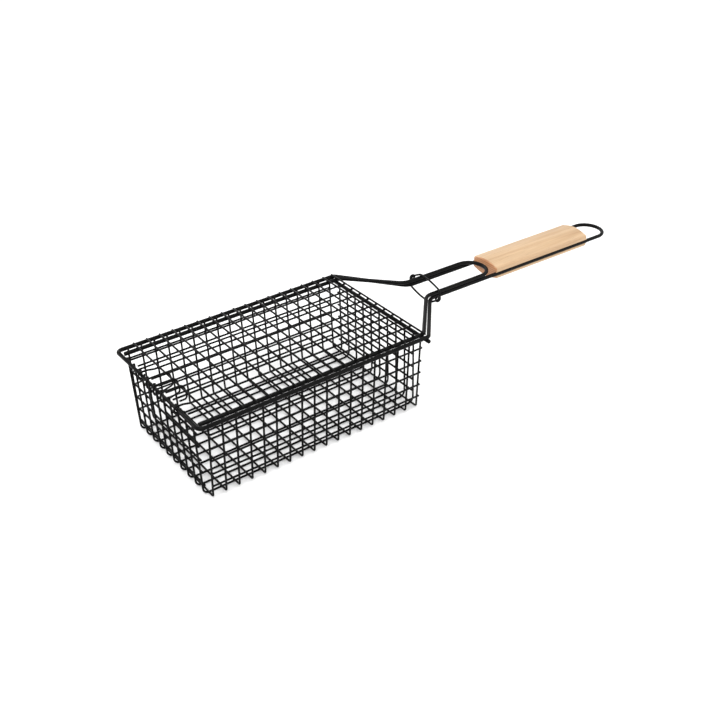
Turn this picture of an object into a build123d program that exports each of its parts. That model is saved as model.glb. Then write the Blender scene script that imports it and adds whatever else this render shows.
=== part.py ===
"""Grill basket: a welded mesh basket with a hinged mesh lid, a long wire handle
with a wooden grip, and a sliding ring that holds the two handles together.

Millimetres. The origin is the middle of the basket floor on the resting plane,
+X runs toward the handle and +Z is up.
"""

import os
from math import cos, radians, sin, sqrt, tan

from build123d import *

os.makedirs("parts", exist_ok=True)

# wire sizes
pitch = 12.7              # spacing of the mesh wires, both ways
mesh_d = 1.8              # mesh wire diameter
frame_d = 3.8             # frame and handle wire diameter
ring_d = 2.0              # locking ring wire diameter
weld = 0.1                # depth one welded wire sinks into the next
hinge_gap = 0.1           # running clearance of the hinge hooks on the bar
free_gap = 0.3            # clearance between parts that move past each other

mesh_r = mesh_d / 2
frame_r = frame_d / 2
ring_r = ring_d / 2
mesh_step = mesh_d - weld               # centre distance of two welded mesh wires
frame_step = mesh_r + frame_r - weld    # mesh wire welded to a frame wire

# basket
cross_count = 18          # U wires that run across the basket
long_count = 10           # U wires that run along the basket
long_z = mesh_r                         # floor height of the long wires
cross_z = long_z + mesh_step            # the cross wires lie on the long wires
floor_half_width = 66.5                 # the cross wires bend up here
floor_half_length = 111.8               # the long wires bend up here
cross_bend = 2.0
long_bend = 5.5
rim_half_width = 73.4                   # centre-line of the frame wire
rim_back = -117.5
rim_front = 114.9
rim_z = 78.2
rim_corner = 5.0
wall_top_y = rim_half_width - frame_step
wall_top_z = rim_z + 0.8                # the upright wires end here, inside the rim
back_wall_x = rim_back + frame_step

# handle
neck_x = 164.3
neck_half = 16.3
neck_bend = 14.0
leg_z = 75.6              # handle height at the neck
droop = radians(0.7)      # the handle slopes down this much, away from the basket
loop_x = 398.8            # centre of the hanging loop

# crossbar under the frame wire at the handle end
bar_d = 3.2
bar_x = 113.4
bar_z = rim_z - (frame_d + bar_d) / 2 + weld
bar_left, bar_right = -76.6, 74.9
front_wall_x = bar_x - (mesh_d + bar_d) / 2 + weld
front_wall_z = bar_z + 1.2              # the long wires end here, on the crossbar

# lid
lid_z = rim_z + 0.4
lid_half = 66.0
lid_shift = 1.6           # the lid frame lies this far off the middle, toward -Y
lid_end = rim_back + frame_r + 1.0
lid_corner = 8.0
lid_neck_x0 = 115.5       # where the lid frame would turn in if it lay in the middle
lid_neck_x1 = 159.5       # where it turns straight along the handle
lid_leg_z = leg_z + frame_d + 0.4
lid_u_x = 229.8           # centre of the bend that ends the lid handle
lid_long_count = 9
lid_cross_z = lid_z + frame_step
lid_long_z = lid_cross_z - mesh_step
lid_cross_half = 72.5
lid_last_shift = 2.4      # the last cross wire lies this much closer to the others
lid_long_end = 113.2
hook_rows = (2, -3)       # lid long wires that hook round the hinge bar
hook_foot = 12.0          # a hooked wire starts to rise this far from the bar
hook_crest = 5.5          # and is level again here
hook_bend = 6.0
hook_r = frame_r + hinge_gap + mesh_r

# hinge coil
coil_d = 1.6
coil_gap = 0.5            # behind the hinge bar
coil_drop = 2.1           # below the hinge bar, clear of the hooks
coil_bend = 3.4
coil_turns = 3
coil_start = 0.75         # first turn, in mesh pitches from the middle
coil_end_reach = 10.0     # the wire's two ends lie this far in front of the bar

# wooden grip
grip_x0, grip_x1 = 249.8, 380.0
grip_half = 17.6          # half width
grip_mid = 9.4            # half thickness along the middle
grip_side = 5.4           # half thickness at the sides
grip_lift = 0.9           # height of the grip's middle above the wire's
grip_corner = 2.2
grip_end_round = 2.0
groove_gap = 0.03

# locking ring
ring_x = 171.5
ring_lean = 10.0          # how far the upper strand sits ahead of the lower one
ring_yaw = 11.0           # turn about the vertical, in degrees
ring_half = 23.5
ring_bend = 2.4
ring_eye_y = 24.9
ring_eye_r = 2.2


def save(piece, name):
    piece.part.label = name
    export_step(piece.part, f"parts/{name}.step")


def wire_piece(points, radii, diameter, name):
    """One round wire along straight runs joined by bends."""
    with BuildPart() as wire:
        with BuildLine() as path:
            FilletPolyline(*points, radius=radii)
        with BuildSketch(Plane(origin=path.line @ 0, z_dir=path.line % 0)):
            Circle(diameter / 2)
        sweep()
    save(wire, name)


def handle_z(x):
    """Height of the basket's handle wires, which slope down gently."""
    return leg_z - tan(droop) * (x - neck_x)


def lid_handle_z(x):
    """Height of the lid's handle wires, on top of the basket's."""
    return lid_leg_z - tan(droop) * (x - lid_neck_x1)


def end_bend(x, z):
    """Half-circle bend that joins the two wires of a handle at its far end."""
    ThreePointArc(
        (x, -neck_half, z),
        (x + neck_half * cos(droop), 0, z - neck_half * sin(droop)),
        (x, neck_half, z),
    )


# Cross wires: up one long wall, across the floor and up the other long wall.
for number in range(cross_count):
    x = (number - (cross_count - 1) / 2) * pitch
    wire_piece(
        [
            (x, -wall_top_y, wall_top_z),
            (x, -floor_half_width, cross_z),
            (x, floor_half_width, cross_z),
            (x, wall_top_y, wall_top_z),
        ],
        cross_bend,
        mesh_d,
        f"cross_wire_{number + 1:02d}",
    )

# Long wires: down the hinge end, along the floor and up the handle end.
for number in range(long_count):
    y = ((long_count - 1) / 2 - number) * pitch
    wire_piece(
        [
            (back_wall_x, y, wall_top_z),
            (-floor_half_length, y, long_z),
            (floor_half_length, y, long_z),
            (front_wall_x, y, front_wall_z),
        ],
        long_bend,
        mesh_d,
        f"long_wire_{number + 1:02d}",
    )

# Rows along the two long walls, welded outside the upright wires.
side_rows = [14.9, 27.9, 41.4, 54.0, 68.2]
side_row_half = 108.9
side_lean = (wall_top_y - floor_half_width) / (wall_top_z - cross_z)
side_step = mesh_step * sqrt(1 + side_lean**2)

for side, name in ((-1, "front_rows"), (1, "back_rows")):
    with BuildPart() as rows:
        for z in side_rows:
            y = side * (floor_half_width + side_lean * (z - cross_z) + side_step)
            with BuildSketch(Plane.YZ.offset(-side_row_half)):
                with Locations((y, z)):
                    Circle(mesh_r)
            extrude(amount=2 * side_row_half)
    save(rows, name)

# Rows across the two ends, welded inside the upright wires.
end_row_half = 58.6


def end_rows(heights, foot_x, top_x, top_z, name):
    """Straight wires across an end wall, inside its leaning upright wires."""
    inward = -1 if foot_x > 0 else 1
    lean = (top_x - foot_x) / (top_z - long_z)
    step = inward * mesh_step * sqrt(1 + lean**2)
    with BuildPart() as rows:
        for z in heights:
            x = foot_x + lean * (z - long_z) + step
            with BuildSketch(Plane.XZ.offset(-end_row_half)):
                with Locations((x, z)):
                    Circle(mesh_r)
            extrude(amount=2 * end_row_half)
    save(rows, name)


end_rows([10.2, 23.3, 36.4, 50.4, 63.2, 70.4], -floor_half_length,
         back_wall_x, wall_top_z, "hinge_end_rows")
end_rows([14.6, 27.1, 41.2, 54.7, 68.4], floor_half_length,
         front_wall_x, front_wall_z, "handle_end_rows")

# Frame wire: round the rim, in and down along the neck, along the handle and
# round the hanging loop, back to the middle of the hinge bar.
with BuildPart() as basket_frame:
    with BuildLine():
        FilletPolyline(
            (rim_back, 0, rim_z),
            (rim_back, -rim_half_width, rim_z),
            (rim_front, -rim_half_width, rim_z),
            (neck_x, -neck_half, leg_z),
            (loop_x, -neck_half, handle_z(loop_x)),
            radius=[rim_corner, rim_corner, neck_bend],
        )
        end_bend(loop_x, handle_z(loop_x))
        FilletPolyline(
            (loop_x, neck_half, handle_z(loop_x)),
            (neck_x, neck_half, leg_z),
            (rim_front, rim_half_width, rim_z),
            (rim_back, rim_half_width, rim_z),
            (rim_back, 0, rim_z),
            radius=[neck_bend, rim_corner, rim_corner],
        )
    with BuildSketch(Plane(origin=(rim_back, 0, rim_z), z_dir=(0, -1, 0))):
        Circle(frame_r)
    sweep()
save(basket_frame, "basket_frame")

# Crossbar that carries the handle-end wall.
with BuildPart() as rim_crossbar:
    with BuildSketch(Plane.XZ.offset(-bar_right)):
        with Locations((bar_x, bar_z)):
            Circle(frame_r)
    extrude(amount=bar_right - bar_left)
save(rim_crossbar, "rim_crossbar")

# Lid frame wire: a long open U whose ends stop just short of the hinge bar.
neck_run = (lid_neck_x1 - lid_neck_x0) / (lid_half - neck_half)
lid_near_y = -lid_half - lid_shift
lid_near_x = lid_neck_x0 - neck_run * lid_shift
lid_far_y = lid_half - lid_shift
lid_far_x = lid_neck_x0 + neck_run * lid_shift
with BuildPart() as lid_frame:
    with BuildLine():
        FilletPolyline(
            (lid_end, lid_near_y, lid_z),
            (lid_near_x, lid_near_y, lid_z),
            (lid_neck_x1, -neck_half, lid_leg_z),
            (lid_u_x, -neck_half, lid_handle_z(lid_u_x)),
            radius=[lid_corner, neck_bend],
        )
        end_bend(lid_u_x, lid_handle_z(lid_u_x))
        FilletPolyline(
            (lid_u_x, neck_half, lid_handle_z(lid_u_x)),
            (lid_neck_x1, neck_half, lid_leg_z),
            (lid_far_x, lid_far_y, lid_z),
            (lid_end, lid_far_y, lid_z),
            radius=[neck_bend, lid_corner],
        )
    with BuildSketch(Plane(origin=(lid_end, lid_near_y, lid_z), z_dir=(1, 0, 0))):
        Circle(frame_r)
    sweep()
save(lid_frame, "lid_frame")

# Lid long wires. Most stop short of the hinge bar. Two rise near it and curl
# round it as hinge hooks.
for number in range(lid_long_count):
    row = (lid_long_count - 1) // 2 - number
    y = row * pitch
    with BuildPart() as lid_wire:
        with BuildLine():
            if row in hook_rows:
                FilletPolyline(
                    (lid_long_end, y, lid_long_z),
                    (rim_back + hook_foot, y, lid_long_z),
                    (rim_back + hook_crest, y, rim_z + hook_r),
                    (rim_back, y, rim_z + hook_r),
                    radius=hook_bend,
                )
                ThreePointArc(
                    (rim_back, y, rim_z + hook_r),
                    (rim_back - hook_r, y, rim_z),
                    (rim_back, y, rim_z - hook_r),
                )
                ThreePointArc(
                    (rim_back, y, rim_z - hook_r),
                    (rim_back + hook_r * sqrt(0.5), y, rim_z - hook_r * sqrt(0.5)),
                    (rim_back + hook_r, y, rim_z),
                )
            else:
                Line((lid_long_end, y, lid_long_z), (lid_end, y, lid_long_z))
        with BuildSketch(Plane(origin=(lid_long_end, y, lid_long_z), z_dir=(-1, 0, 0))):
            Circle(mesh_r)
        sweep()
    save(lid_wire, f"lid_long_wire_{number + 1}")

# Lid cross wires, on top of the lid frame and reaching out over the rim.
with BuildPart() as lid_cross_wires:
    for number in range(cross_count):
        x = (number - cross_count / 2 + 1) * pitch
        if number == cross_count - 1:
            x -= lid_last_shift
        with BuildSketch(Plane.XZ.offset(-lid_cross_half)):
            with Locations((x, lid_cross_z)):
                Circle(mesh_r)
        extrude(amount=2 * lid_cross_half)
save(lid_cross_wires, "lid_cross_wires")

# Hinge coil: a flat spiral of wire round the hinge bar and the first lid cross
# wire. Its turns pass between the upright wires and the lid's long wires.
coil_r = coil_d / 2
first_cross_x = (1 - cross_count / 2) * pitch
coil_back = rim_back - frame_r - coil_gap - coil_r
coil_front = first_cross_x + mesh_r + free_gap + coil_r
coil_top = lid_cross_z + mesh_r + free_gap + coil_r
coil_bottom = rim_z - frame_r - coil_drop - coil_r
coil_points = [(rim_back + coil_end_reach, coil_start * pitch, coil_bottom)]
for turn in range(coil_turns):
    y = (coil_start - turn) * pitch
    next_y = y - pitch / 2
    coil_points += [
        (coil_back, y, coil_bottom),
        (coil_back, y, coil_top),
        (coil_front, y, coil_top),
        (coil_front, next_y, coil_bottom),
    ]
coil_points.append((rim_back + coil_end_reach, next_y, coil_bottom))
wire_piece(coil_points, coil_bend, coil_d, "hinge_coil")

# Locking ring: an oblong wire link, leaning and turned a little, round both pairs
# of handle wires, with a small eye at each end.
ring_top = lid_handle_z(ring_x) + frame_r + free_gap + ring_r
ring_bottom = handle_z(ring_x) - frame_r - free_gap - ring_r
ring_top_x = ring_x + ring_lean / 2
ring_bottom_x = ring_x - ring_lean / 2
with BuildPart() as locking_ring:
    with BuildLine() as half_ring:
        FilletPolyline(
            (ring_top_x, 0, ring_top),
            (ring_top_x, ring_half, ring_top),
            (ring_bottom_x, ring_half, ring_bottom),
            (ring_bottom_x, 0, ring_bottom),
            radius=ring_bend,
        )
    with BuildSketch(Plane(origin=half_ring.line @ 0, z_dir=half_ring.line % 0)):
        Circle(ring_r)
    sweep()
    mirror(about=Plane.XZ)
    ring_z = (ring_top + ring_bottom) / 2
    with Locations((ring_x, -ring_eye_y, ring_z), (ring_x, ring_eye_y, ring_z)):
        Torus(ring_eye_r, ring_r, rotation=(0, 90, 0))
ring_axis = Axis((ring_x, 0, 0), (0, 0, 1))
locking_ring.part = locking_ring.part.rotate(ring_axis, -ring_yaw)
save(locking_ring, "locking_ring")

# Wooden grip: a flat oval bar with a groove in each side for the frame wire. It
# slopes with the handle.
grip_plane = Plane(
    origin=(grip_x0, 0, handle_z(grip_x0)),
    x_dir=(0, 1, 0),
    z_dir=(1, 0, -tan(droop)),
)
with BuildPart() as wooden_grip:
    with BuildSketch(grip_plane) as section:
        with BuildLine():
            ThreePointArc(
                (-grip_half, grip_lift + grip_side),
                (0, grip_lift + grip_mid),
                (grip_half, grip_lift + grip_side),
            )
            Line((grip_half, grip_lift + grip_side), (grip_half, grip_lift - grip_side))
            ThreePointArc(
                (grip_half, grip_lift - grip_side),
                (0, grip_lift - grip_mid),
                (-grip_half, grip_lift - grip_side),
            )
            Line((-grip_half, grip_lift - grip_side), (-grip_half, grip_lift + grip_side))
        make_face()
        fillet(section.vertices(), radius=grip_corner)
    extrude(amount=grip_x1 - grip_x0)
    ends = wooden_grip.faces().sort_by(Axis.X)
    fillet(ends[0].edges() + ends[-1].edges(), radius=grip_end_round)
    with BuildSketch(grip_plane.offset(-1)):
        for side in (-1, 1):
            with Locations((side * neck_half, 0)):
                Circle(frame_r + groove_gap)
            with Locations((side * (neck_half + 3), 0)):
                Rectangle(6, frame_d + 2 * groove_gap)
    extrude(amount=grip_x1 - grip_x0 + 2, mode=Mode.SUBTRACT)
save(wooden_grip, "wooden_grip")
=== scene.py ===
"""Looks for the grill basket: coated wires with welds, a spring-wire ring and a wooden grip.

Metres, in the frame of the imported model: the origin is the middle of the basket
floor, +X runs toward the handle and +Z is up.
"""

import math

import bmesh
import bpy
from mathutils import Matrix, Vector


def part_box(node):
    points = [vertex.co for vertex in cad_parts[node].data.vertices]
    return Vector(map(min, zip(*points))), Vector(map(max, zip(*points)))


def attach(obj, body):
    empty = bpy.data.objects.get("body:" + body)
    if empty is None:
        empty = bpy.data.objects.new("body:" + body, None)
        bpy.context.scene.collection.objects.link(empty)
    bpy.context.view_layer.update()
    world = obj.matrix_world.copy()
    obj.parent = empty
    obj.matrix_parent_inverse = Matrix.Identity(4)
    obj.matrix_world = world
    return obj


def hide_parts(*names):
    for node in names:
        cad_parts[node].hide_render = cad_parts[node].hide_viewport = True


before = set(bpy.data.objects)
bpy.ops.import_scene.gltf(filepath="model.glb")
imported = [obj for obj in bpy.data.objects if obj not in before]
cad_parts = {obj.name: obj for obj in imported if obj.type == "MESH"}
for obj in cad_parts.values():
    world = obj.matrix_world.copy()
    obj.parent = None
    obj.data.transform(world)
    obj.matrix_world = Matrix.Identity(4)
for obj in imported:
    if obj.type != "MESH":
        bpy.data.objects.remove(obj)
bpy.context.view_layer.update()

MM = 0.001


def middle(node):
    """Centre of a CAD node's box."""
    low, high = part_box(node)
    return (Vector(low) + Vector(high)) / 2


def extent(node):
    """Size of a CAD node's box along X, Y and Z."""
    low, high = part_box(node)
    return Vector(high) - Vector(low)


# Sizes read from the frame.
pitch = middle("cross_wire_02").x - middle("cross_wire_01").x
mesh_r = extent("cross_wire_01").x / 2
bar_r = extent("rim_crossbar").x / 2
frame_r = 1.9 * MM
rim_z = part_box("basket_frame")[1][2] - frame_r
rim_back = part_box("basket_frame")[0][0] + frame_r
rim_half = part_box("basket_frame")[1][1] - frame_r
loop_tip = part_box("basket_frame")[1][0] - frame_r
bar_x, _, bar_z = middle("rim_crossbar")
lid_z = middle("lid_cross_wires").z - (mesh_r + frame_r - 0.1 * MM)
lid_near_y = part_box("lid_frame")[0][1] + frame_r
lid_far_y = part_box("lid_frame")[1][1] - frame_r
lid_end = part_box("lid_frame")[0][0]
lid_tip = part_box("lid_frame")[1][0] - frame_r
lid_cross_z = middle("lid_cross_wires").z
lid_cross_half = extent("lid_cross_wires").y / 2
lid_long_z = middle("lid_long_wire_1").z
lid_long_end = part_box("lid_long_wire_1")[1][0]

# Sizes of the bends, which the boxes don't show.
weld = 0.1 * MM
mesh_step = 2 * mesh_r - weld
frame_step = mesh_r + frame_r - weld
long_z = mesh_r
cross_z = long_z + mesh_step
floor_half_width = 66.5 * MM
floor_half_length = 111.8 * MM
cross_bend = 2.0 * MM
long_bend = 5.5 * MM
upright_top = rim_z + 0.8 * MM
wall_top_y = rim_half - frame_step
back_wall_x = rim_back + frame_step
front_wall_x = bar_x - (mesh_r + bar_r - weld)
front_wall_top = bar_z + 1.2 * MM
rim_corner = 5.0 * MM
rim_front = 114.9 * MM
neck_x = 164.3 * MM
neck_half = 16.3 * MM
neck_bend = 14.0 * MM
leg_z = 75.6 * MM
droop = math.radians(0.7)
lid_corner = 8.0 * MM
lid_near_x = 114.08 * MM
lid_far_x = 116.92 * MM
lid_neck_x1 = 159.5 * MM
lid_leg_z = leg_z + 2 * frame_r + 0.4 * MM

cross_count = 18
long_count = 10
lid_long_count = 9
lid_last_shift = 2.4 * MM

# Tubes: corners round a thick or thin wire, and degrees between points round a bend.
thick_sides = 24
thin_sides = 14
thick_from = 1.5 * MM
bend_step = 9

# Hinge hooks on two of the lid's long wires.
hook_rows = (2, -3)
hook_gap = 0.1 * MM
hook_foot = 12.0 * MM
hook_crest = 5.5 * MM
hook_bend = 6.0 * MM
hook_steps = 30


def handle_z(x):
    """Height of the basket's handle wires, which slope down gently."""
    return leg_z - math.tan(droop) * (x - neck_x)


def lid_handle_z(x):
    """Height of the lid's handle wires, on top of the basket's."""
    return lid_leg_z - math.tan(droop) * (x - lid_neck_x1)


# ---------------------------------------------------------------- materials

WORN_COATING = (0.012, 0.0115, 0.011)
WOOD_LIGHT = (0.58, 0.41, 0.255)
WOOD_MID = (0.50, 0.335, 0.19)
WOOD_DARK = (0.40, 0.245, 0.125)
END_LIGHT = (0.52, 0.25, 0.115)
END_DARK = (0.36, 0.155, 0.065)


def new_material(name):
    """A node material, its tree, its shader and a helper that adds nodes."""
    material = bpy.data.materials.new(name)
    material.use_nodes = True
    tree = material.node_tree
    shader = tree.nodes["Principled BSDF"]

    def add(kind, **inputs):
        node = tree.nodes.new(kind)
        for key, value in inputs.items():
            node.inputs[key.replace("_", " ")].default_value = value
        return node

    return material, tree, shader, add


def ramp(add, stops):
    """A colour ramp with the given (place, grey or colour) stops."""
    node = add("ShaderNodeValToRGB")
    elements = node.color_ramp.elements
    while len(elements) < len(stops):
        elements.new(0.5)
    for element, (place, value) in zip(elements, stops):
        element.position = place
        colour = (value, value, value) if isinstance(value, float) else value
        element.color = (*colour, 1.0)
    return node


def coated_wire(name, dark, light, rough_low, rough_high):
    """Satin black coating: uneven tone and gloss, fine orange peel and rubbed specks."""
    material, tree, shader, add = new_material(name)
    link = tree.links.new
    place = add("ShaderNodeTexCoord")

    cloud = add("ShaderNodeTexNoise", Scale=70.0, Detail=4.0, Roughness=0.6)
    peel = add("ShaderNodeTexNoise", Scale=1500.0, Detail=3.0, Roughness=0.55)
    rub = add("ShaderNodeTexNoise", Scale=420.0, Detail=6.0, Roughness=0.75)
    for node in (cloud, peel, rub):
        link(place.outputs["Object"], node.inputs["Vector"])

    tone = ramp(add, [(0.3, dark), (0.7, light)])
    link(cloud.outputs["Fac"], tone.inputs["Fac"])
    specks = ramp(add, [(0.66, 0.0), (0.74, 1.0)])
    link(rub.outputs["Fac"], specks.inputs["Fac"])
    worn = add("ShaderNodeMix")
    worn.data_type = "RGBA"
    worn.inputs["B"].default_value = (*WORN_COATING, 1.0)
    link(specks.outputs["Color"], worn.inputs["Factor"])
    link(tone.outputs["Color"], worn.inputs["A"])
    link(worn.outputs["Result"], shader.inputs["Base Color"])

    gloss = add("ShaderNodeMapRange", From_Min=0.3, From_Max=0.7)
    gloss.inputs["To Min"].default_value = rough_low
    gloss.inputs["To Max"].default_value = rough_high
    link(rub.outputs["Fac"], gloss.inputs["Value"])
    link(gloss.outputs["Result"], shader.inputs["Roughness"])

    bump = add("ShaderNodeBump", Strength=0.35, Distance=0.00008)
    link(peel.outputs["Fac"], bump.inputs["Height"])
    link(bump.outputs["Normal"], shader.inputs["Normal"])
    shader.inputs["Specular IOR Level"].default_value = 0.06
    return material


def pale_wood():
    """Straight-grained pale wood with fine pores and darker, redder end grain."""
    material, tree, shader, add = new_material("pale_wood")
    link = tree.links.new
    place = add("ShaderNodeTexCoord")

    def stretched(across, along):
        """Object coordinates scaled across and along the grain."""
        mapping = add("ShaderNodeMapping")
        mapping.inputs["Scale"].default_value = (along, across, across)
        link(place.outputs["Object"], mapping.inputs["Vector"])
        return mapping

    figure_place = stretched(95.0, 5.0)
    figure = add("ShaderNodeTexNoise", Scale=1.0, Detail=5.0, Roughness=0.55, Distortion=0.7)
    link(figure_place.outputs["Vector"], figure.inputs["Vector"])
    fibre_place = stretched(900.0, 22.0)
    fibre = add("ShaderNodeTexNoise", Scale=1.0, Detail=4.0, Roughness=0.6)
    link(fibre_place.outputs["Vector"], fibre.inputs["Vector"])
    pore_place = stretched(1500.0, 90.0)
    pore = add("ShaderNodeTexNoise", Scale=1.0, Detail=2.0, Roughness=0.5)
    link(pore_place.outputs["Vector"], pore.inputs["Vector"])

    body = ramp(add, [(0.30, WOOD_DARK), (0.48, WOOD_MID), (0.70, WOOD_LIGHT)])
    link(figure.outputs["Fac"], body.inputs["Fac"])
    lines = ramp(add, [(0.35, 0.86), (0.62, 1.0)])
    link(fibre.outputs["Fac"], lines.inputs["Fac"])
    pits = ramp(add, [(0.27, 0.72), (0.36, 1.0)])
    link(pore.outputs["Fac"], pits.inputs["Fac"])

    def multiply(first, second):
        """Two colours multiplied together."""
        mix = add("ShaderNodeMix")
        mix.data_type = "RGBA"
        mix.blend_type = "MULTIPLY"
        mix.inputs["Factor"].default_value = 1.0
        link(first, mix.inputs["A"])
        link(second, mix.inputs["B"])
        return mix.outputs["Result"]

    along_grain = multiply(multiply(body.outputs["Color"], lines.outputs["Color"]),
                           pits.outputs["Color"])

    rings = add("ShaderNodeTexWave", Scale=150.0, Distortion=3.0, Detail=3.0)
    rings.wave_type = "BANDS"
    rings.bands_direction = "Z"
    link(place.outputs["Object"], rings.inputs["Vector"])
    end_tone = ramp(add, [(0.0, END_DARK), (1.0, END_LIGHT)])
    link(rings.outputs["Fac"], end_tone.inputs["Fac"])

    surface = add("ShaderNodeNewGeometry")
    split = add("ShaderNodeSeparateXYZ")
    link(surface.outputs["Normal"], split.inputs["Vector"])
    facing = add("ShaderNodeMath")
    facing.operation = "ABSOLUTE"
    link(split.outputs["X"], facing.inputs[0])
    is_end = add("ShaderNodeMapRange", From_Min=0.45, From_Max=0.9)
    link(facing.outputs["Value"], is_end.inputs["Value"])
    whole = add("ShaderNodeMix")
    whole.data_type = "RGBA"
    link(is_end.outputs["Result"], whole.inputs["Factor"])
    link(along_grain, whole.inputs["A"])
    link(end_tone.outputs["Color"], whole.inputs["B"])
    link(whole.outputs["Result"], shader.inputs["Base Color"])

    gloss = add("ShaderNodeMapRange", From_Min=0.3, From_Max=0.7, To_Min=0.42, To_Max=0.58)
    link(fibre.outputs["Fac"], gloss.inputs["Value"])
    link(gloss.outputs["Result"], shader.inputs["Roughness"])
    relief = add("ShaderNodeBump", Strength=0.35, Distance=0.00012)
    link(pits.outputs["Color"], relief.inputs["Height"])
    link(relief.outputs["Normal"], shader.inputs["Normal"])
    shader.inputs["Coat Weight"].default_value = 0.08
    shader.inputs["Coat Roughness"].default_value = 0.4
    return material


black_coating = coated_wire("black_coating", 0.0020, 0.0045, 0.30, 0.42)
spring_wire = coated_wire("spring_wire", 0.0025, 0.0060, 0.26, 0.38)
grip_wood = pale_wood()


# -------------------------------------------------------------- wire shapes


def bent_path(corners, bends, closed=False):
    """Points along straight runs joined by round bends, one bend for each inner corner."""
    corners = [Vector(corner) for corner in corners]
    count = len(corners)
    inner = range(count) if closed else range(1, count - 1)
    if not isinstance(bends, (list, tuple)):
        bends = [bends] * len(inner)
    points = [] if closed else [corners[0]]
    for index, bend in zip(inner, bends):
        here = corners[index]
        arriving = (here - corners[index - 1]).normalized()
        leaving = (corners[(index + 1) % count] - here).normalized()
        turn = arriving.angle(leaving)
        reach = bend * math.tan(turn / 2)
        start = here - arriving * reach
        inward = (leaving - arriving * leaving.dot(arriving)).normalized()
        centre = start + inward * bend
        steps = max(2, round(math.degrees(turn) / bend_step))
        for step in range(steps + 1):
            angle = turn * step / steps
            points.append(centre - inward * bend * math.cos(angle)
                          + arriving * bend * math.sin(angle))
    if not closed:
        points.append(corners[-1])
    return points


def without_repeats(points, closed):
    """Drops points that lie on the one before."""
    kept = [points[0]]
    for point in points[1:]:
        if (point - kept[-1]).length > 1e-6:
            kept.append(point)
    if closed and (kept[0] - kept[-1]).length < 1e-6:
        kept.pop()
    return kept


def add_tube(mesh, points, radius, closed=False, sides=16):
    """Adds a round tube along the points, with rounded cut ends, to a bmesh."""
    points = without_repeats([Vector(point) for point in points], closed)
    count = len(points)
    tangents = []
    for index, point in enumerate(points):
        before = points[index - 1] if closed or index else None
        after = points[(index + 1) % count] if closed or index < count - 1 else None
        arriving = (point - before).normalized() if before else None
        leaving = (after - point).normalized() if after else None
        if arriving is None:
            tangents.append(leaving)
        elif leaving is None:
            tangents.append(arriving)
        else:
            tangents.append((arriving + leaving).normalized())
    up = tangents[0].orthogonal().normalized()
    rings = []

    def ring(centre, tangent, size):
        side = tangent.cross(up).normalized()
        verts = []
        for step in range(sides):
            angle = 2 * math.pi * step / sides
            offset = up * math.cos(angle) + side * math.sin(angle)
            verts.append(mesh.verts.new(centre + offset * size))
        rings.append(verts)

    round_off = 0.3 * radius
    if not closed:
        ring(points[0], tangents[0], radius - round_off)
        ring(points[0] + tangents[0] * round_off * 0.3, tangents[0], radius - round_off * 0.3)
    for index, (point, tangent) in enumerate(zip(points, tangents)):
        up = (up - tangent * up.dot(tangent)).normalized()
        if not closed and index == 0:
            ring(point + tangent * round_off, tangent, radius)
        elif not closed and index == count - 1:
            ring(point - tangent * round_off, tangent, radius)
        else:
            ring(point, tangent, radius)
    if not closed:
        ring(points[-1] - tangents[-1] * round_off * 0.3, tangents[-1], radius - round_off * 0.3)
        ring(points[-1], tangents[-1], radius - round_off)
    pairs = list(zip(rings, rings[1:]))
    for first, second in pairs:
        for step in range(sides):
            after = (step + 1) % sides
            mesh.faces.new((first[step], second[step], second[after], first[after]))
    if closed:
        join_ends(mesh, rings[-1], rings[0], sides)
    else:
        mesh.faces.new(rings[0])
        mesh.faces.new(list(reversed(rings[-1])))


def join_ends(mesh, last, first, sides):
    """Closes a ring of tube sections, turned so that their nearest corners meet."""
    shift = min(range(sides), key=lambda step: (last[0].co - first[step].co).length)
    for step in range(sides):
        after = (step + 1) % sides
        mesh.faces.new((last[step], first[(step + shift) % sides],
                        first[(after + shift) % sides], last[after]))


def finish_piece(mesh, name, body, material, nodes=()):
    """Turns a bmesh into a smooth-shaded piece that rides on a body."""
    bmesh.ops.recalc_face_normals(mesh, faces=mesh.faces[:])
    data = bpy.data.meshes.new(name)
    mesh.to_mesh(data)
    mesh.free()
    data.materials.append(material)
    for polygon in data.polygons:
        polygon.use_smooth = True
    piece = bpy.data.objects.new(name, data)
    bpy.context.scene.collection.objects.link(piece)
    data.set_sharp_from_angle(angle=math.radians(40))
    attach(piece, body)
    if nodes:
        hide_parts(*nodes)
    return piece


def wire(name, corners, bends, radius, body, node, closed=False):
    """One coated wire in place of its CAD node."""
    mesh = bmesh.new()
    add_tube(mesh, bent_path(corners, bends, closed), radius, closed,
             sides=thick_sides if radius > thick_from else thin_sides)
    finish_piece(mesh, name, body, black_coating, [node])


def straight_wires(name, ends, body, node):
    """Several straight mesh wires in place of one CAD node."""
    mesh = bmesh.new()
    for start, end in ends:
        add_tube(mesh, [start, end], mesh_r, sides=thin_sides)
    finish_piece(mesh, name, body, black_coating, [node])


# ------------------------------------------------------------------- basket


def cross_x(number):
    """Place of a basket cross wire along X."""
    return (number - (cross_count - 1) / 2) * pitch


def long_y(number):
    """Place of a basket long wire along Y."""
    return ((long_count - 1) / 2 - number) * pitch


for number in range(cross_count):
    x = cross_x(number)
    wire(
        f"basket_cross_{number + 1:02d}",
        [
            (x, -wall_top_y, upright_top),
            (x, -floor_half_width, cross_z),
            (x, floor_half_width, cross_z),
            (x, wall_top_y, upright_top),
        ],
        cross_bend, mesh_r, "basket", f"cross_wire_{number + 1:02d}",
    )

for number in range(long_count):
    y = long_y(number)
    wire(
        f"basket_long_{number + 1:02d}",
        [
            (back_wall_x, y, upright_top),
            (-floor_half_length, y, long_z),
            (floor_half_length, y, long_z),
            (front_wall_x, y, front_wall_top),
        ],
        long_bend, mesh_r, "basket", f"long_wire_{number + 1:02d}",
    )

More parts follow.
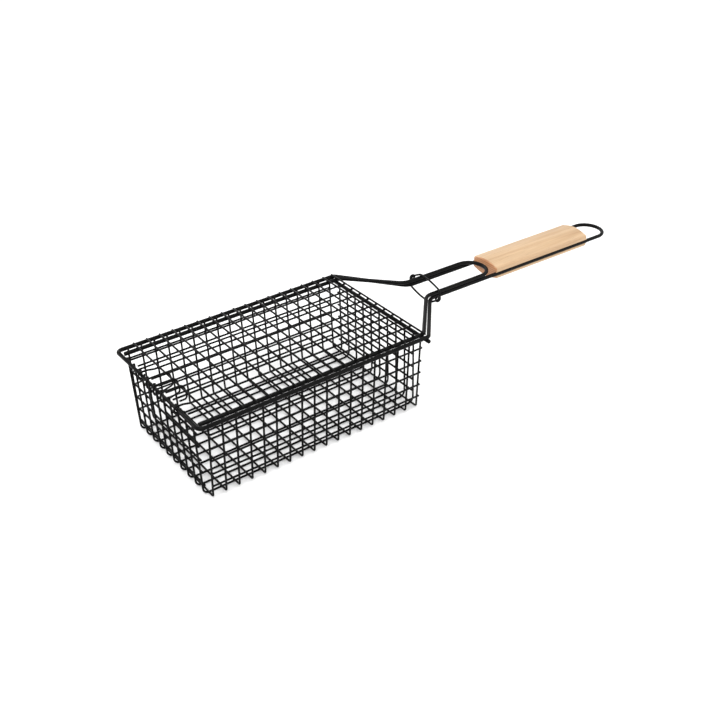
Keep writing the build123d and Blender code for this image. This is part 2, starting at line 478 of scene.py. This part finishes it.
side_rows = [height * MM for height in (14.9, 27.9, 41.4, 54.0, 68.2)]
hinge_rows = [height * MM for height in (10.2, 23.3, 36.4, 50.4, 63.2, 70.4)]
handle_rows = [height * MM for height in (14.6, 27.1, 41.2, 54.7, 68.4)]
side_row_half = extent("front_rows").x / 2
end_row_half = extent("hinge_end_rows").y / 2
side_lean = (wall_top_y - floor_half_width) / (upright_top - cross_z)
back_lean = (back_wall_x + floor_half_length) / (upright_top - long_z)
front_lean = (front_wall_x - floor_half_length) / (front_wall_top - long_z)


def side_wall_y(z):
    """Distance of a leaning side wall from the middle, at a height."""
    return floor_half_width + side_lean * (z - cross_z)


def back_x(z):
    """Place of the leaning hinge-end wall along X, at a height."""
    return -floor_half_length + back_lean * (z - long_z)


def front_x(z):
    """Place of the leaning handle-end wall along X, at a height."""
    return floor_half_length + front_lean * (z - long_z)


for side, name in ((-1, "front_rows"), (1, "back_rows")):
    ends = []
    for z in side_rows:
        y = side * (side_wall_y(z) + mesh_step)
        ends.append(((-side_row_half, y, z), (side_row_half, y, z)))
    straight_wires(f"basket_{name}", ends, "basket", name)

for name, heights, wall, inward in (
    ("hinge_end_rows", hinge_rows, back_x, 1),
    ("handle_end_rows", handle_rows, front_x, -1),
):
    ends = []
    for z in heights:
        x = wall(z) + inward * mesh_step
        ends.append(((x, -end_row_half, z), (x, end_row_half, z)))
    straight_wires(f"basket_{name}", ends, "basket", name)

wire(
    "frame_wire",
    [
        (rim_back, -rim_half, rim_z),
        (rim_front, -rim_half, rim_z),
        (neck_x, -neck_half, leg_z),
        (loop_tip, -neck_half, handle_z(loop_tip)),
        (loop_tip, neck_half, handle_z(loop_tip)),
        (neck_x, neck_half, leg_z),
        (rim_front, rim_half, rim_z),
        (rim_back, rim_half, rim_z),
    ],
    [rim_corner, rim_corner, neck_bend, neck_half - weld, neck_half - weld,
     neck_bend, rim_corner, rim_corner],
    frame_r, "basket", "basket_frame", closed=True,
)
bar_low, bar_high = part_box("rim_crossbar")
wire("crossbar", [(bar_x, bar_low[1], bar_z), (bar_x, bar_high[1], bar_z)],
     0, bar_r, "basket", "rim_crossbar")


# ---------------------------------------------------------------------- lid

wire(
    "lid_wire",
    [
        (lid_end, lid_near_y, lid_z),
        (lid_near_x, lid_near_y, lid_z),
        (lid_neck_x1, -neck_half, lid_leg_z),
        (lid_tip, -neck_half, lid_handle_z(lid_tip)),
        (lid_tip, neck_half, lid_handle_z(lid_tip)),
        (lid_neck_x1, neck_half, lid_leg_z),
        (lid_far_x, lid_far_y, lid_z),
        (lid_end, lid_far_y, lid_z),
    ],
    [lid_corner, neck_bend, neck_half - weld, neck_half - weld, neck_bend, lid_corner],
    frame_r, "lid", "lid_frame",
)

hook_r = frame_r + hook_gap + mesh_r
for number in range(lid_long_count):
    row = (lid_long_count - 1) // 2 - number
    y = row * pitch
    node = f"lid_long_wire_{number + 1}"
    mesh = bmesh.new()
    if row in hook_rows:
        points = bent_path(
            [
                (lid_long_end, y, lid_long_z),
                (rim_back + hook_foot, y, lid_long_z),
                (rim_back + hook_crest, y, rim_z + hook_r),
                (rim_back, y, rim_z + hook_r),
            ],
            hook_bend,
        )
        for step in range(1, hook_steps + 1):
            angle = math.radians(90 + bend_step * step)
            points.append(Vector((rim_back + hook_r * math.cos(angle), y,
                                  rim_z + hook_r * math.sin(angle))))
    else:
        points = [(lid_long_end, y, lid_long_z), (lid_end, y, lid_long_z)]
    add_tube(mesh, points, mesh_r, sides=thin_sides)
    finish_piece(mesh, f"lid_long_{number + 1}", "lid", black_coating, [node])


def lid_cross_x(number):
    """Place of a lid cross wire along X. The last one lies a little closer."""
    x = (number - cross_count / 2 + 1) * pitch
    return x - lid_last_shift if number == cross_count - 1 else x


straight_wires(
    "lid_cross",
    [((lid_cross_x(number), -lid_cross_half, lid_cross_z),
      (lid_cross_x(number), lid_cross_half, lid_cross_z)) for number in range(cross_count)],
    "lid", "lid_cross_wires",
)

# Hinge coil, with the same turns as its CAD node.
coil_low, coil_high = (Vector(corner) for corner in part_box("hinge_coil"))
coil_r = 0.8 * MM
coil_start_x = rim_back + 10.0 * MM
coil_bend = 3.4 * MM
coil_turns = 3
coil_y = coil_high.y - coil_r
coil_corners = [(coil_start_x, coil_y, coil_low.z + coil_r)]
for turn in range(coil_turns):
    y = coil_y - turn * pitch
    coil_corners += [
        (coil_low.x + coil_r, y, coil_low.z + coil_r),
        (coil_low.x + coil_r, y, coil_high.z - coil_r),
        (coil_high.x - coil_r, y, coil_high.z - coil_r),
        (coil_high.x - coil_r, y - pitch / 2, coil_low.z + coil_r),
    ]
coil_corners.append((coil_start_x, y - pitch / 2, coil_low.z + coil_r))
mesh = bmesh.new()
add_tube(mesh, bent_path(coil_corners, coil_bend), coil_r)
finish_piece(mesh, "hinge_spiral", "lid", spring_wire, ["hinge_coil"])


# -------------------------------------------------------------------- welds


def add_bead(mesh, centre, radii):
    """A low weld mound: a squashed ball that fills the corner between two wires."""
    matrix = Matrix.Translation(Vector(centre)) @ Matrix.Diagonal((*radii, 1.0))
    bmesh.ops.create_icosphere(mesh, subdivisions=2, radius=1.0, matrix=matrix)


wide = 1.35 * mesh_r
thin = 0.80 * mesh_r
along_frame = 1.6 * mesh_r
basket_welds = bmesh.new()
for number in range(cross_count):
    x = cross_x(number)
    for other in range(long_count):
        add_bead(basket_welds, (x, long_y(other), (cross_z + long_z) / 2), (wide, wide, thin))
    for side in (-1, 1):
        for z in side_rows:
            y = side * (side_wall_y(z) + mesh_step / 2)
            add_bead(basket_welds, (x, y, z), (wide, thin, wide))
        add_bead(basket_welds, (x, side * (rim_half - frame_r), rim_z),
                 (wide, thin, along_frame))
for number in range(long_count):
    y = long_y(number)
    for z in hinge_rows:
        add_bead(basket_welds, (back_x(z) + mesh_step / 2, y, z), (thin, wide, wide))
    for z in handle_rows:
        add_bead(basket_welds, (front_x(z) - mesh_step / 2, y, z), (thin, wide, wide))
    add_bead(basket_welds, (rim_back + frame_r, y, rim_z), (thin, wide, along_frame))
    add_bead(basket_welds, (bar_x - bar_r, y, bar_z), (thin, wide, along_frame))
for side in (-1, 1):
    add_bead(basket_welds, (bar_x, side * rim_half, (rim_z + bar_z) / 2),
             (0.85 * bar_r, 0.85 * bar_r, 0.45 * bar_r))
finish_piece(basket_welds, "basket_welds", "basket", black_coating)

lid_welds = bmesh.new()
for number in range(cross_count):
    x = lid_cross_x(number)
    for other in range(lid_long_count):
        y = (other - (lid_long_count - 1) / 2) * pitch
        add_bead(lid_welds, (x, y, (lid_cross_z + lid_long_z) / 2), (wide, wide, thin))
    for y in (lid_near_y, lid_far_y):
        add_bead(lid_welds, (x, y, lid_z + frame_r), (wide, along_frame, thin))
finish_piece(lid_welds, "lid_welds", "lid", black_coating)


# ------------------------------------------------------------- locking ring

ring_r = 1.0 * MM
ring_gap = 0.3 * MM
ring_lean = 10.0 * MM
ring_yaw = math.radians(-11.0)
ring_low, ring_high = (Vector(corner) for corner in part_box("locking_ring"))
ring_centre = (ring_low + ring_high) / 2
ring_top = lid_handle_z(ring_centre.x) + frame_r + ring_gap + ring_r
ring_bottom = handle_z(ring_centre.x) - frame_r - ring_gap - ring_r
ring_turn = Matrix.Rotation(ring_yaw, 3, "Z")
ring_up = Vector((ring_lean, 0.0, ring_top - ring_bottom))
ring_half_height = ring_up.length / 2
ring_up = ring_turn @ ring_up.normalized()
ring_side = ring_turn @ Vector((0.0, 1.0, 0.0))
ring_normal = ring_side.cross(ring_up).normalized()
eye_r = 2.2 * MM
eye_y = 24.9 * MM
eye_start = math.radians(119)
# Half of a strand: distance from the middle and share of the full height.
strand_shape = ((21.8 * MM, 0.70), (18.2 * MM, 0.97), (11.0 * MM, 1.08), (0.0, 1.13))


def ring_point(y, height, along):
    """A point given along the ring's own sideways, upward and through directions."""
    return ring_centre + ring_side * y + ring_up * height + ring_normal * along


def eye_points(side):
    """One and a third turns of wire round an eye, stepping one wire sideways."""
    points = []
    steps = 48
    sweep = 2 * (2 * math.pi - eye_start)
    start = eye_start if side < 0 else eye_start - math.pi
    for step in range(steps + 1):
        angle = start + sweep * step / steps
        along = side * ring_r * 1.05 * (2 * step / steps - 1)
        points.append(ring_point(side * eye_y + eye_r * math.cos(angle),
                                 eye_r * math.sin(angle), along))
    return points


def smooth_curve(points, steps=8):
    """A smooth curve through the points, without the first and last of them."""
    curve = []
    for index in range(1, len(points) - 2):
        before, start, end, after = points[index - 1:index + 3]
        for step in range(steps):
            t = step / steps
            curve.append(0.5 * (2 * start + (end - before) * t
                                + (2 * before - 5 * start + 4 * end - after) * t ** 2
                                + (3 * start - before - 3 * end + after) * t ** 3))
    return curve[1:]


def strand(upward, leaving, arriving):
    """The bowed upper (1) or lower (-1) strand between the end of one eye and the next."""
    from_side = 1 if upward > 0 else -1
    shape = [(from_side * y, share) for y, share in strand_shape]
    shape += [(-y, share) for y, share in reversed(shape[:-1])]
    middle_points = [ring_point(y, upward * share * ring_half_height, upward * ring_r * 0.6)
                     for y, share in shape]
    return smooth_curve(leaving[-2:] + middle_points + arriving[:2])


near = eye_points(-1)
far = eye_points(1)
mesh = bmesh.new()
add_tube(mesh, near + strand(-1, near, far) + far + strand(1, far, near), ring_r, closed=True)
finish_piece(mesh, "spring_ring", "locking_ring", spring_wire, ["locking_ring"])


# -------------------------------------------------------------- wooden grip

grip_low, grip_high = (Vector(corner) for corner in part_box("wooden_grip"))
grip_half = grip_high.y
grip_mid = 9.4 * MM
grip_side = 5.4 * MM
grip_lift = 0.9 * MM
corner_r = 2.2 * MM
groove_r = frame_r + 0.03 * MM
groove_lip = 0.3 * MM
end_ease = 2.4 * MM


def crown(y):
    """Height of the crowned face above the grip's middle plane."""
    return grip_side + (grip_mid - grip_side) * (1 - (y / grip_half) ** 2)


def grip_side_outline(up):
    """Half of the outline at +Y, from the middle of one face to the side groove."""
    edge = grip_half - corner_r
    points = []
    for step in range(10):
        y = edge * step / 9
        points.append((y, up * crown(y) + grip_lift))
    shoulder_z = crown(edge) - corner_r
    for step in range(1, 9):
        angle = math.radians(90 - 90 * step / 8)
        points.append((edge + corner_r * math.cos(angle),
                       up * (shoulder_z + corner_r * math.sin(angle)) + grip_lift))
    points.append((grip_half, up * (groove_r + groove_lip)))
    points.append((grip_half - groove_lip, up * groove_r))
    points.append((neck_half, up * groove_r))
    for step in range(1, 8):
        angle = math.radians(90 + 90 * step / 8)
        points.append((neck_half + groove_r * math.cos(angle), up * groove_r * math.sin(angle)))
    return points


def grip_section():
    """Outline across the grip: crowned faces, round shoulders and a groove in each side."""
    right_side = (grip_side_outline(1) + [(neck_half - groove_r, 0.0)]
                  + list(reversed(grip_side_outline(-1))))
    left_side = [(-y, z) for y, z in reversed(right_side[1:-1])]
    return right_side + left_side


def grip_mesh():
    """The section swept along the handle, eased at both ends."""
    mesh = bmesh.new()
    section = grip_section()
    stations = []
    for step in range(7):
        angle = math.radians(90 * step / 6)
        stations.append((end_ease * (1 - math.cos(angle)), end_ease * (1 - math.sin(angle))))
    places = [(grip_low.x + forward, inset) for forward, inset in stations]
    places += [(grip_high.x - forward, inset) for forward, inset in reversed(stations)]
    rings = []
    for x, inset in places:
        ring = []
        for y, z in section:
            in_groove = abs(z) <= groove_r + 1e-9 and abs(y) < grip_half - 0.2 * MM
            if not in_groove:
                y *= 1 - inset / grip_half
                z = grip_lift + (z - grip_lift) * (1 - inset / grip_mid)
            ring.append(mesh.verts.new((x, y, handle_z(x) + z)))
        rings.append(ring)
    count = len(section)
    for first, second in zip(rings, rings[1:]):
        for step in range(count):
            after = (step + 1) % count
            mesh.faces.new((first[step], first[after], second[after], second[step]))
    mesh.faces.new(rings[0])
    mesh.faces.new(list(reversed(rings[-1])))
    return mesh


finish_piece(grip_mesh(), "grip", "basket", grip_wood, ["wooden_grip"])


# ------------------------------------------------------ floor, light, camera


def pale_floor():
    """A large matt floor, nearly white."""
    material, tree, shader, add = new_material("pale_floor")
    grain = add("ShaderNodeTexNoise", Scale=6.0, Detail=3.0)
    place = add("ShaderNodeTexCoord")
    tree.links.new(place.outputs["Object"], grain.inputs["Vector"])
    tone = ramp(add, [(0.3, 0.86), (0.7, 0.88)])
    tree.links.new(grain.outputs["Fac"], tone.inputs["Fac"])
    tree.links.new(tone.outputs["Color"], shader.inputs["Base Color"])
    shader.inputs["Roughness"].default_value = 0.9
    shader.inputs["Specular IOR Level"].default_value = 0.1
    mesh = bmesh.new()
    bmesh.ops.create_grid(mesh, x_segments=1, y_segments=1, size=4.0)
    data = bpy.data.meshes.new("floor")
    mesh.to_mesh(data)
    mesh.free()
    data.materials.append(material)
    floor = bpy.data.objects.new("floor", data)
    bpy.context.scene.collection.objects.link(floor)


def area_light(name, place, target, size, power):
    """A soft square light that faces a target."""
    lamp = bpy.data.lights.new(name, "AREA")
    lamp.size = size
    lamp.energy = power
    light = bpy.data.objects.new(name, lamp)
    light.location = place
    light.rotation_euler = (Vector(target) - Vector(place)).to_track_quat("-Z", "Y").to_euler()
    bpy.context.scene.collection.objects.link(light)


def surroundings():
    """White studio air and three soft lights."""
    world = bpy.data.worlds.new("studio")
    world.use_nodes = True
    background = world.node_tree.nodes["Background"]
    background.inputs["Color"].default_value = (1.0, 1.0, 1.0, 1.0)
    background.inputs["Strength"].default_value = 1.0
    bpy.context.scene.world = world
    target = (0.1, 0.0, 0.04)
    area_light("key", (-0.5, -0.5, 1.3), target, 0.9, 14.0)
    area_light("fill", (1.2, -0.9, 0.9), target, 1.2, 8.0)
    area_light("rim", (0.3, 1.3, 1.0), target, 0.8, 8.0)
    bpy.context.scene.view_settings.view_transform = "Standard"


def camera():
    """The photograph's viewpoint: its place, its heading round Z, its tilt down and its roll."""
    place = Vector((-0.39688, -0.66641, 0.54780))
    heading = math.radians(-36.301)
    tilt = math.radians(32.287)
    roll = math.radians(-0.609)
    data = bpy.data.cameras.new("camera")
    data.sensor_width = 36.0
    data.lens = 51.11
    data.clip_start = 0.01
    view = bpy.data.objects.new("camera", data)
    view.matrix_world = (
        Matrix.Translation(place)
        @ Matrix.Rotation(heading, 4, "Z")
        @ Matrix.Rotation(math.pi / 2 - tilt, 4, "X")
        @ Matrix.Rotation(roll, 4, "Z")
    )
    bpy.context.scene.collection.objects.link(view)
    bpy.context.scene.camera = view


pale_floor()
surroundings()
camera()
